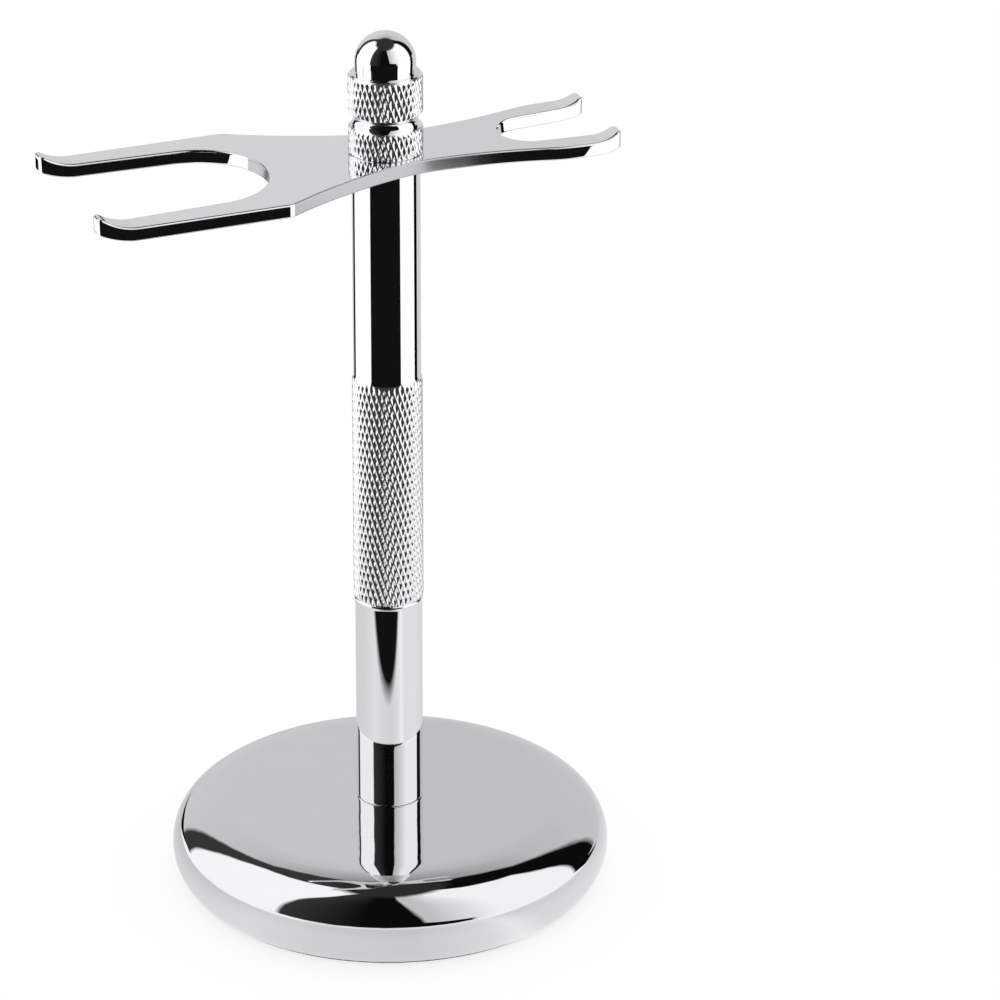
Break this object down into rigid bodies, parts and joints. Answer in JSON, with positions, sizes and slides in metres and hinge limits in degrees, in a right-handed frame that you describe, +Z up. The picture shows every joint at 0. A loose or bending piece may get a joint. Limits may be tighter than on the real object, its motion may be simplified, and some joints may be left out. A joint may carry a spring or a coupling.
{
  "type": "razor stand",
  "caption": "Chrome stand with a weighted round base, a post with a knurled grip, and a clamped double fork that holds a shaving brush and a razor.",
  "frame": {"origin": "centre of the foam pad's underside, on the surface that the stand rests on", "axes": "+Z up the post; -X along the brush fork, +X along the razor fork"},
  "size_m": [0.0938, 0.075, 0.1544],
  "materials": {
    "chrome": "mirror-bright chrome plating",
    "cast_iron": "as-cast grey iron, lightly oiled",
    "foam": "matt closed-cell foam",
    "adhesive_film": "double-sided adhesive film",
    "zinc_steel": "zinc-plated steel",
    "nylon": "natural nylon"
  },
  "bodies": {
    "stand": {"base_casting": "chrome", "ballast_ring": "cast_iron", "foam_pad": "foam", "pad_adhesive": "adhesive_film", "base_screw": "zinc_steel", "spring_washer": "zinc_steel", "flat_washer": "zinc_steel", "post": "chrome"},
    "fork": {"fork_plate": "chrome"},
    "washer": {"knob_washer": "nylon"},
    "knob": {"finial_knob": "chrome", "knob_stud": "zinc_steel"}
  },
  "joints": [
    {"name": "fork_swivel", "type": "hinge", "parent": "stand", "child": "fork", "pos_m": [0, 0, 0.13385], "axis": [0, 0, 1], "continuous": true},
    {"name": "knob_lift", "type": "slide", "parent": "stand", "child": "washer", "axis": [0, 0, 1], "range_m": [0, 0.012]},
    {"name": "knob_turn", "type": "hinge", "parent": "washer", "child": "knob", "pos_m": [0, 0, 0.13385], "axis": [0, 0, 1], "range_deg": [0, 5400]}
  ],
  "couplings": [
    {"joint": "knob_lift", "follows": "knob_turn", "m_per_rad": 0.00012732}
  ]
}
